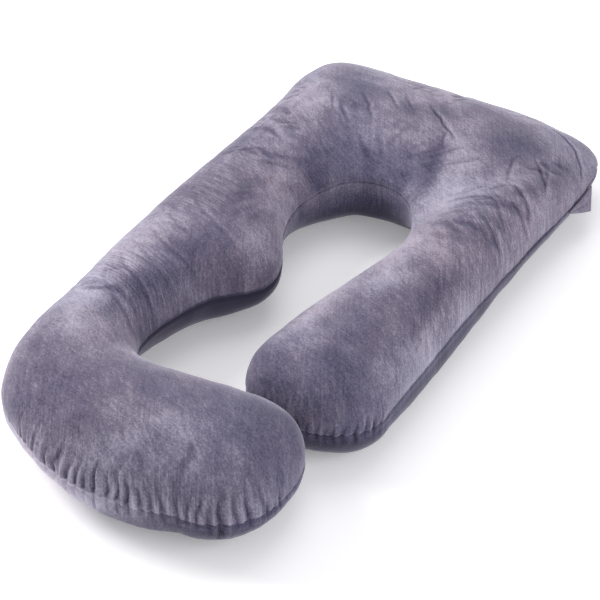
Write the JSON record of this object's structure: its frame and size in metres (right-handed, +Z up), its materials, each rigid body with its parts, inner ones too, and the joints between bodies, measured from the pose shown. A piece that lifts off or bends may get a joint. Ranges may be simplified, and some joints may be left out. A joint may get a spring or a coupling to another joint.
{
  "type": "full-length body pillow",
  "caption": "Filled velvet body pillow lying flat: a broad head bar, a long arm that hooks round at its foot, a shorter leg meeting the hook, and one seam round the outline.",
  "frame": {"origin": "under the middle of the outline, on the surface that the pillow rests on", "axes": "+Y towards the head bar, +Z up from the resting side, +X towards the short leg"},
  "size_m": [0.7537, 1.4552, 0.2073],
  "materials": {
    "velvet": "brushed short-pile velvet"
  },
  "bodies": {
    "root": {"pillow": "velvet", "corner_flap": "velvet"}
  },
  "joints": []
}
